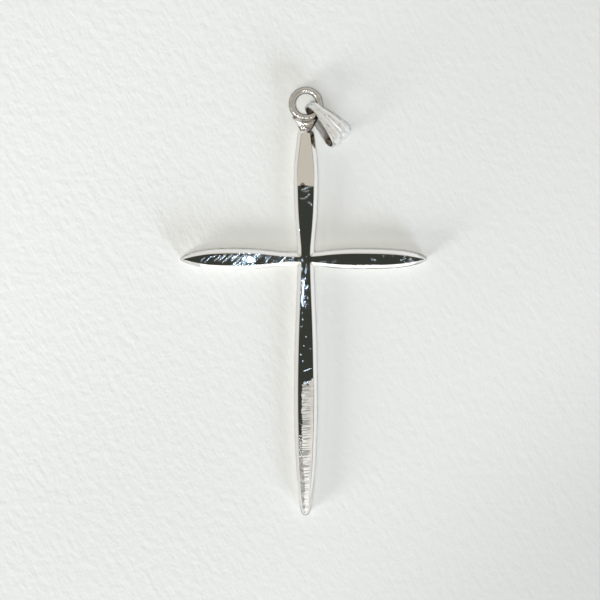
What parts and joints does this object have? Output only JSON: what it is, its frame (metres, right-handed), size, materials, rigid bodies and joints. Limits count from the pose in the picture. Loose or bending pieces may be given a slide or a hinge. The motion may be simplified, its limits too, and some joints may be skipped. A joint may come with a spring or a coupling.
{
  "type": "cross pendant",
  "caption": "Slim cross pendant with spindle-shaped bevelled arms, a fixed top ring and a fluted teardrop bail for a chain.",
  "frame": {"origin": "On the flat back, under the centre of the crossing", "axes": "+X towards the right arm, +Y up the pendant towards the ring, +Z out of the front face"},
  "size_m": [0.0289, 0.0505, 0.0033],
  "materials": {
    "cross_metal": "mirror polished silver with fine scratches",
    "bail_metal": "polished silver, lightly worn"
  },
  "bodies": {
    "root": {"cross": "cross_metal", "bail": "bail_metal"}
  },
  "joints": []
}
